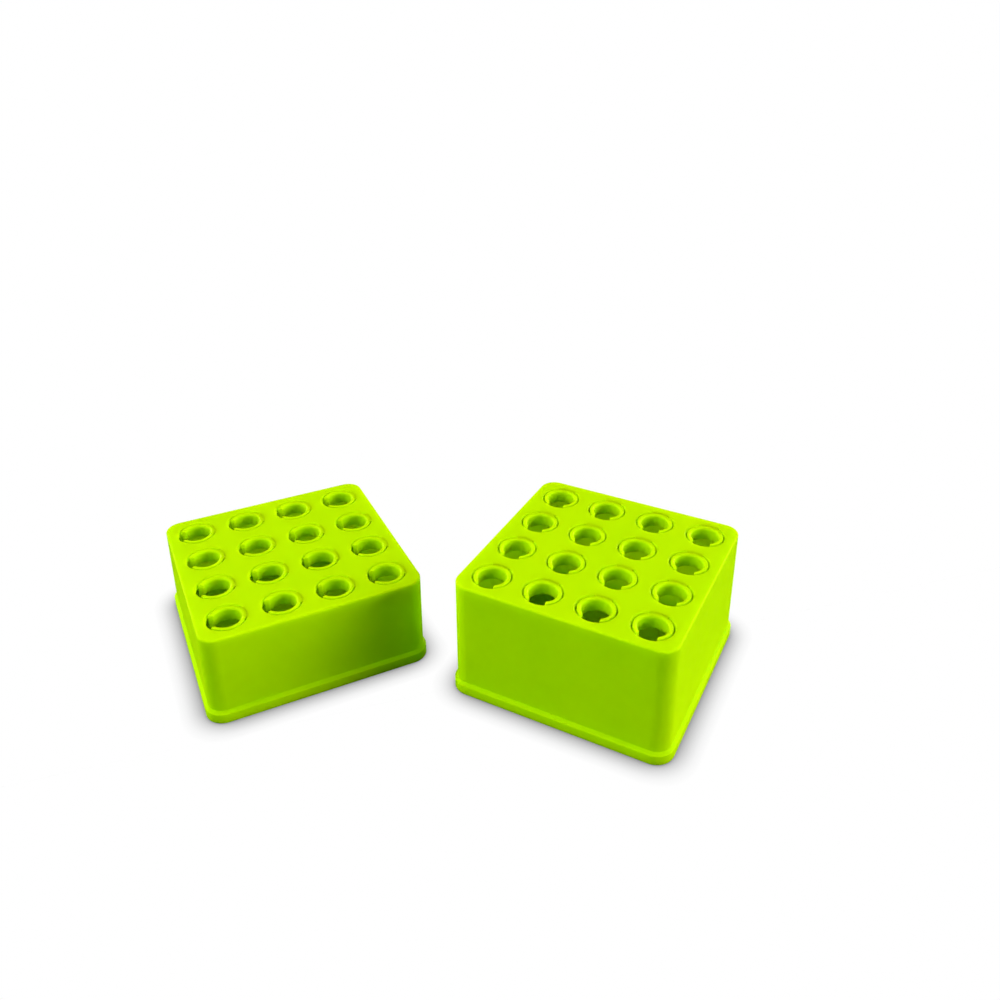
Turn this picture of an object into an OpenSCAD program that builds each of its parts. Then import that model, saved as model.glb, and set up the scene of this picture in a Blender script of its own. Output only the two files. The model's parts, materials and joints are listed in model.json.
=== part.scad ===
// A pair of free-standing tube blocks, one tall and one short.
// Each block is a hollow moulded shell with a square grid of wells in its deck.
// Every well holds a split clip collar that grips a 13 mm tube, and a floor plate closes the block.
// Origin: centre of the tall block's base. +Z is up, and the collars' slots face -Y.

/* [Wells] */
// Distance between neighbouring well centres
well_pitch = 24; // [22:0.5:28]
// Wells along each side of a block
wells_per_side = 4; // [2:1:4]
// Radius of each opening in the deck
well_r = 8.66; // [8.5:0.02:9.2]
// Radius of the rounded rim around each opening
well_rim_r = 1; // [0.4:0.1:1.2]

/* [Clip collars] */
// Radius of the bore that grips the tube
bore_r = 6.25; // [5.5:0.05:6.5]
// Width of the free groove between a collar and the deck
groove_w = 0.6; // [0.4:0.05:0.8]
// Height of a collar, from the top of the deck down
collar_h = 6.1; // [4:0.1:10]
// Radius of the rounded lead-in at the mouth of the bore
lead_in_r = 1.1; // [0.4:0.1:1.3]
// Radius of a collar's rounded outer edge
collar_edge_r = 0.4; // [0.2:0.05:0.5]
// Width of the slot that splits a collar
slot_w = 8.2; // [6:0.1:9]
// Angle of the web that carries a collar, in degrees of its circle
web_angle = 54; // [40:1:70]
// Running gap between the web and the deck
web_gap = 0.05; // [0.04:0.01:0.1]

/* [Blocks] */
// Height of the tall block
tall_h = 56.4; // [45:0.1:90]
// Height of the short block
short_h = 43; // [35:0.1:90]
// From the outer well centres to the side of the body
edge_margin = 13.5; // [12.5:0.1:20]
// Radius of the upright corners
corner_r = 7.2; // [5:0.1:10]
// Radius of the rounded edge around the deck
deck_edge_r = 0.8; // [0.4:0.1:2]
// Thickness of the side walls
wall_t = 2.2; // [1.8:0.1:3]
// Thickness of the deck
deck_t = 2.5; // [2:0.1:3.5]

/* [Foot] */
// How far the foot band stands proud of the side walls
foot_out = 1.3; // [0.8:0.1:2]
// Height of the foot band's upright face
foot_h = 4.7; // [3:0.1:8]
// Height of the slope above the upright face
foot_slope_h = 1.4; // [0.5:0.1:3]
// Radius of the foot band's lower edge
foot_edge_r = 0.5; // [0.2:0.1:1]
// Thickness of the floor plate
floor_t = 1.8; // [1.2:0.1:2.5]
// Depth of the rebate that the floor plate is pressed into
rebate_d = 1.3; // [0.8:0.1:1.5]
// Gap around the floor plate
floor_gap = 0.05; // [0.02:0.01:0.2]

/* [Arrangement] */
// Centre of the short block, left of the tall block's centre
short_left = 139.1; // [125:0.1:200]
// Centre of the short block, in front of the tall block's centre
short_front = 47.4; // [0:0.1:80]
// Turn of the short block, clockwise seen from above
short_turn = 36.3; // [0:0.1:45]

/* [Hidden] */
$fn = 96;
body_w = (wells_per_side - 1) * well_pitch + 2 * edge_margin;
corner_spacing = body_w - 2 * corner_r;
collar_r = well_r - groove_w;
cut = 1;
row_letters = "abcd";
well_range = [0 : wells_per_side - 1];

function collar_name(block, row, col) = str(block, "_collar_", row_letters[row], col + 1);

// ---- placement ----

// Puts its children at one well of a block: rows run from the front, columns from the left.
module at_well(row, col) {
    first = -(wells_per_side - 1) / 2;
    translate([(first + col) * well_pitch, (first + row) * well_pitch, 0]) children();
}

// Puts its children in the short block's place.
module at_short_block() {
    translate([-short_left, -short_front, 0]) rotate([0, 0, -short_turn]) children();
}

// ---- outlines ----

module rounded_square(side, r) {
    straight = side - 2 * r;
    square([side, straight], center = true);
    square([straight, side], center = true);
    for (sx = [-1, 1], sy = [-1, 1]) translate([sx, sy] * straight / 2) circle(r);
}

// Half of a block's upright section: the wall face stands at x = reach, on the foot band.
module half_section(reach, block_h) {
    foot_reach = reach + foot_out;
    foot_top = foot_h + foot_slope_h;
    square([reach, block_h - deck_edge_r]);
    square([reach - deck_edge_r, block_h]);
    translate([reach - deck_edge_r, block_h - deck_edge_r]) circle(deck_edge_r);
    square([foot_reach - foot_edge_r, foot_h]);
    translate([foot_reach - foot_edge_r, foot_edge_r]) circle(foot_edge_r);
    polygon([
        [0, foot_edge_r], [foot_reach, foot_edge_r], [foot_reach, foot_h], [reach, foot_top], [0, foot_top]
    ]);
}

// A slice of a round well, as wide as the given angle and centred on the well's back.
module well_slice(angle) {
    reach = 2 * well_r;
    half = reach * tan(angle / 2);
    polygon([[0, 0], [half, reach], [-half, reach]]);
}

// ---- shell ----

// The outside of a block, with no hollow: four round corner posts and two crossing bars.
module block_outside(block_h) {
    for (sx = [-1, 1], sy = [-1, 1]) translate([sx, sy, 0] * corner_spacing / 2)
        rotate_extrude() half_section(corner_r, block_h);
    for (turn = [0, 90]) rotate([90, 0, turn])
        linear_extrude(corner_spacing, center = true) {
            half_section(body_w / 2, block_h);
            mirror([1, 0]) half_section(body_w / 2, block_h);
        }
}

module block_hollow(block_h) {
    inner_w = body_w - 2 * wall_t;
    inner_r = corner_r - wall_t;
    translate([0, 0, -cut]) linear_extrude(block_h - deck_t + cut) rounded_square(inner_w, inner_r);
    translate([0, 0, -cut]) linear_extrude(floor_t + cut)
        rounded_square(inner_w + 2 * rebate_d, inner_r + rebate_d);
}

// What is taken off around the rim of an opening, all round but for the stretch that the web meets.
module rim_rounding() {
    difference() {
        rotate_extrude() difference() {
            translate([well_r - groove_w, -well_rim_r]) square([groove_w + well_rim_r, well_rim_r + cut]);
            translate([well_r + well_rim_r, -well_rim_r]) circle(well_rim_r);
        }
        translate([0, 0, -2 * cut]) linear_extrude(4 * cut) well_slice(web_angle);
    }
}

module block_shell(block_h) {
    difference() {
        block_outside(block_h);
        block_hollow(block_h);
        for (row = well_range, col = well_range) at_well(row, col) translate([0, 0, block_h]) {
            translate([0, 0, -deck_t - cut]) cylinder(h = deck_t + 2 * cut, r = well_r);
            rim_rounding();
        }
    }
}

// ---- floor plate ----

module block_floor() {
    plate_w = body_w - 2 * (wall_t - rebate_d) - 2 * floor_gap;
    linear_extrude(floor_t) rounded_square(plate_w, corner_r - wall_t + rebate_d - floor_gap);
}

// ---- clip collar ----

// The web fills the groove opposite the slot.
module collar_web() {
    translate([0, 0, -deck_t]) linear_extrude(deck_t) intersection() {
        circle(well_r - web_gap);
        well_slice(web_angle);
    }
}

// The solid ring of a collar, rounded around its outer top edge.
module collar_ring() {
    rotate_extrude() {
        translate([0, -collar_h]) square([collar_r, collar_h - collar_edge_r]);
        translate([0, -collar_edge_r]) square([collar_r - collar_edge_r, collar_edge_r]);
        translate([collar_r - collar_edge_r, -collar_edge_r]) circle(collar_edge_r);
    }
}

// The rounded mouth: what is taken off around the top of the bore.
module collar_mouth() {
    mouth_r = bore_r + lead_in_r;
    rotate_extrude() difference() {
        translate([0, -lead_in_r]) square([mouth_r, lead_in_r + cut]);
        translate([mouth_r, -lead_in_r]) circle(lead_in_r);
    }
}

// One collar on its own well's axis, with its top at the given height.
module clip_collar(top_z) {
    translate([0, 0, top_z]) difference() {
        union() {
            collar_ring();
            collar_web();
        }
        translate([0, 0, -collar_h - cut]) cylinder(h = collar_h + 2 * cut, r = bore_r);
        collar_mouth();
        translate([-slot_w / 2, -2 * well_r, -collar_h - cut])
            cube([slot_w, 2 * well_r, collar_h + 2 * cut]);
    }
}

// ---- nodes ----

module tall_shell() {
    color("yellowgreen") block_shell(tall_h);
}

module tall_floor() {
    color("olivedrab") block_floor();
}

module tall_collar(row, col) {
    color("greenyellow") at_well(row, col) clip_collar(tall_h);
}

module short_shell() {
    color("yellowgreen") at_short_block() block_shell(short_h);
}

module short_floor() {
    color("olivedrab") at_short_block() block_floor();
}

module short_collar(row, col) {
    color("greenyellow") at_short_block() at_well(row, col) clip_collar(short_h);
}

tall_shell();
tall_floor();
short_shell();
short_floor();
for (row = well_range, col = well_range) {
    tall_collar(row, col);
    short_collar(row, col);
}
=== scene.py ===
"""Looks for the pair of lime-green tube blocks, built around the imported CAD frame."""
import json
import math

import bpy
from mathutils import Matrix, Vector

MM = 0.001

# Camera, placed from the tall block, whose base centre is the frame's origin.
CAMERA_PLACE = Vector((121.6, -328.7, 295.9)) * MM
CAMERA_YAW = math.radians(28.13)
CAMERA_PITCH = math.radians(23.83)
CAMERA_ROLL = math.radians(-0.446)
CAMERA_LENS = 33.68
CAMERA_SENSOR = 36
CAMERA_SHIFT = (0.007, -0.1223)
CAMERA_CLIP = (0.01, 50)

# Base colours: the shells and collars, the floor plates, and the painted highlight on the edges.
LIME = (0.57, 0.93, 0.0)
# The floor plates' slightly darker lime is painted shade for the depths of the wells.
SHADED_FLOOR_LIME = (0.53, 0.90, 0.0)
EDGE_HIGHLIGHT_LIME = (0.66, 0.99, 0.0)

# Sizes of the plastic's detail, and how far light travels inside it.
EDGE_ROUND = 0.25 * MM
GRAIN_SIZE = 0.5 * MM
SHEEN_SIZE = 3 * MM
FLOW_SIZE = 35 * MM
LIGHT_REACH = 8 * MM

# Strengths of that detail.
TONE_SPREAD = 0.04
ROUGHNESS_SPREAD = 0.06
GRAIN_STRENGTH = 0.08
TRANSLUCENCY = 0.8
GLOSS = 0.2
GLOSS_TINT = (0.7, 1.0, 0.0, 1)

# Most of a noise node's values lie in this range.
NOISE_RANGE = (0.3, 0.7)

# How alike the rounded and the flat normals are at an edge and just beside it.
EDGE_RANGE = (0.75, 0.99)

# Floor: its size, how much light it gives back, and its contact shadow's reach and darkest tone.
FLOOR_SIZE = 40
FLOOR_BOUNCE = 0.05
SHADOW_REACH = 11 * MM
SHADOW_TONE = 0.33

# Suns: name, azimuth and elevation in degrees, strength, colour and width in degrees.
# Azimuth 0 shines from the camera's side, 90 from its right and -90 from its left.
SUNS = [
    ("left_high", -90, 50, 1.98, (0.92, 1.0, 0.15), 50),
    ("left_low", -60, 15, 1.97, (0.58, 1.0, 0.15), 50),
    ("right_low", 77, 15, 3.05, (0.77, 1.0, 0.15), 26),
    ("right_high", 90, 50, 0.54, (1.0, 1.0, 0.15), 50),
    ("back_left", -135, 5, 1.2, (0.9, 1.0, 0.15), 20),
    ("back_right", 135, 5, 1.65, (0.9, 1.0, 0.15), 20),
]


def make_camera():
    data = bpy.data.cameras.new("camera")
    data.sensor_width = CAMERA_SENSOR
    data.lens = CAMERA_LENS
    data.shift_x, data.shift_y = CAMERA_SHIFT
    data.clip_start, data.clip_end = CAMERA_CLIP
    camera = bpy.data.objects.new("camera", data)
    turn = (
        Matrix.Rotation(CAMERA_YAW, 4, "Z")
        @ Matrix.Rotation(math.radians(90) - CAMERA_PITCH, 4, "X")
        @ Matrix.Rotation(CAMERA_ROLL, 4, "Z")
    )
    camera.matrix_world = Matrix.Translation(CAMERA_PLACE) @ turn
    bpy.context.scene.collection.objects.link(camera)
    bpy.context.scene.camera = camera


class Nodes:
    """A short way to add shader nodes to a material or a world, and to link them."""

    def __init__(self, owner):
        owner.use_nodes = True
        self.tree = owner.node_tree
        self.tree.nodes.clear()

    def add(self, kind, settings=None, inputs=None):
        """A new node. An input is either a value or another node's output."""
        node = self.tree.nodes.new(kind)
        for name, value in (settings or {}).items():
            setattr(node, name, value)
        for name, value in (inputs or {}).items():
            if isinstance(value, bpy.types.NodeSocket):
                self.tree.links.new(value, node.inputs[name])
            else:
                node.inputs[name].default_value = value
        return node

    def noise(self, place, size, detail):
        """Noise with lumps about the given size across."""
        inputs = {"Vector": place, "Scale": 1 / size, "Detail": detail}
        return self.add("ShaderNodeTexNoise", inputs=inputs).outputs["Fac"]

    def remap(self, value, source, target):
        """A value's source range stretched to the target range, and held at its ends."""
        ends = {"From Min": source[0], "From Max": source[1], "To Min": target[0], "To Max": target[1]}
        return self.add("ShaderNodeMapRange", inputs={"Value": value, **ends}).outputs["Result"]

    def mix(self, factor, first, second):
        """A colour between two others."""
        inputs = {0: factor, 6: first, 7: second}
        return self.add("ShaderNodeMix", {"data_type": "RGBA"}, inputs).outputs[2]


def shade_of(color, gain):
    """A colour times a gain, as a shader input."""
    return (*(gain * channel for channel in color), 1)


def lime_plastic(name, base, roughness, edge_highlight):
    """Satin moulded plastic that lets some light through: uneven tone, fine grain, and edges lightened
    as a painted highlight.
    """
    material = bpy.data.materials.new(name)
    n = Nodes(material)
    place = n.add("ShaderNodeTexCoord").outputs["Object"]

    rounded = n.add("ShaderNodeBevel", {"samples": 4}, {"Radius": EDGE_ROUND}).outputs["Normal"]
    flat = n.add("ShaderNodeNewGeometry").outputs["Normal"]
    alike = n.add("ShaderNodeVectorMath", {"operation": "DOT_PRODUCT"}, {0: rounded, 1: flat})
    # Painted highlight: where the rounded and flat normals part, at edges, the colour is blended
    # towards a paler lime.
    highlight_mask = n.remap(alike.outputs["Value"], EDGE_RANGE, (edge_highlight, 0.0))

    flow = n.remap(n.noise(place, FLOW_SIZE, 2.0), NOISE_RANGE, (0.0, 1.0))
    tone = n.mix(flow, shade_of(base, 1 - TONE_SPREAD), shade_of(base, 1 + TONE_SPREAD))
    color = n.mix(highlight_mask, tone, shade_of(EDGE_HIGHLIGHT_LIME, 1))

    sheen = (roughness - ROUGHNESS_SPREAD, roughness + ROUGHNESS_SPREAD)
    grain = {
        "Strength": GRAIN_STRENGTH,
        "Distance": GRAIN_SIZE,
        "Height": n.noise(place, GRAIN_SIZE, 3.0),
        "Normal": rounded,
    }
    plastic = {
        "Base Color": color,
        "Roughness": n.remap(n.noise(place, SHEEN_SIZE, 3.0), NOISE_RANGE, sheen),
        "Normal": n.add("ShaderNodeBump", inputs=grain).outputs["Normal"],
        "Specular IOR Level": GLOSS,
        "Specular Tint": GLOSS_TINT,
        "Subsurface Weight": TRANSLUCENCY,
        "Subsurface Radius": (1.0, 1.0, 0.1),
        "Subsurface Scale": LIGHT_REACH,
    }
    surface = n.add("ShaderNodeBsdfPrincipled", inputs=plastic).outputs["BSDF"]
    n.add("ShaderNodeOutputMaterial", inputs={"Surface": surface})
    return material


def floor_white():
    """Plain pale floor: even to the camera but for a soft shadow where something stands close."""
    material = bpy.data.materials.new("floor_white")
    n = Nodes(material)
    near = n.add("ShaderNodeAmbientOcclusion", {"samples": 24}, {"Distance": SHADOW_REACH})
    shade = n.remap(near.outputs["AO"], (0.5, 1.0), (SHADOW_TONE, 1.0))
    seen = n.add("ShaderNodeEmission", inputs={"Color": shade}).outputs["Emission"]
    grey = {"Color": (FLOOR_BOUNCE, FLOOR_BOUNCE, FLOOR_BOUNCE, 1)}
    lit = n.add("ShaderNodeBsdfDiffuse", inputs=grey).outputs["BSDF"]
    to_camera = n.add("ShaderNodeLightPath").outputs["Is Camera Ray"]
    both = n.add("ShaderNodeMixShader", inputs={0: to_camera, 1: lit, 2: seen}).outputs["Shader"]
    n.add("ShaderNodeOutputMaterial", inputs={"Surface": both})
    return material


def make_floor():
    bpy.ops.mesh.primitive_plane_add(size=FLOOR_SIZE, location=(0, 0, 0))
    floor = bpy.context.object
    floor.name = "floor"
    floor.data.materials.append(floor_white())


def make_world():
    """White to the camera and dark to everything else, so that only the suns light the object."""
    world = bpy.data.worlds.new("studio")
    n = Nodes(world)
    to_camera = n.add("ShaderNodeLightPath").outputs["Is Camera Ray"]
    sky = n.add("ShaderNodeBackground", inputs={"Color": (1, 1, 1, 1), "Strength": to_camera})
    n.add("ShaderNodeOutputWorld", inputs={"Surface": sky.outputs["Background"]})
    bpy.context.scene.world = world


def make_sun(name, azimuth, elevation, strength, color, width):
    data = bpy.data.lights.new(name, "SUN")
    data.energy = strength
    data.color = color
    data.angle = math.radians(width)
    light = bpy.data.objects.new(name, data)
    a, e = CAMERA_YAW + math.radians(azimuth), math.radians(elevation)
    towards = Vector((math.sin(a) * math.cos(e), -math.cos(a) * math.cos(e), math.sin(e)))
    light.rotation_mode = "QUATERNION"
    light.rotation_quaternion = towards.to_track_quat("Z", "Y")
    bpy.context.scene.collection.objects.link(light)


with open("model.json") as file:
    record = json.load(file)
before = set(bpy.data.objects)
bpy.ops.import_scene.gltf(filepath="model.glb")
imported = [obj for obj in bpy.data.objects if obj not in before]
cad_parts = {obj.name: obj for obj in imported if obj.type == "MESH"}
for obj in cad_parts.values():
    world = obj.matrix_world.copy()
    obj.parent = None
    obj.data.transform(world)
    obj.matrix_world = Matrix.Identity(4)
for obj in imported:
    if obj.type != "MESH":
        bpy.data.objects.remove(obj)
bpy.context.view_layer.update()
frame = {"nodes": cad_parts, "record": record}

finishes = {
    "shell": lime_plastic("shell_plastic", LIME, roughness=0.5, edge_highlight=0.5),
    "collar": lime_plastic("collar_plastic", LIME, roughness=0.45, edge_highlight=0.6),
    # Floor plates: a darker copy of the lime, as painted shade deep in the wells.
    "floor": lime_plastic("floor_plastic", SHADED_FLOOR_LIME, roughness=0.55, edge_highlight=0.2),
}
slot_of = {part["node"]: part["material_slot"] for part in frame["record"]["subparts"]}
for name, node in frame["nodes"].items():
    for slot in node.material_slots:
        slot.material = finishes[slot_of[name]]

make_floor()
make_world()
for settings in SUNS:
    make_sun(*settings)
make_camera()
bpy.context.scene.view_settings.view_transform = "Standard"
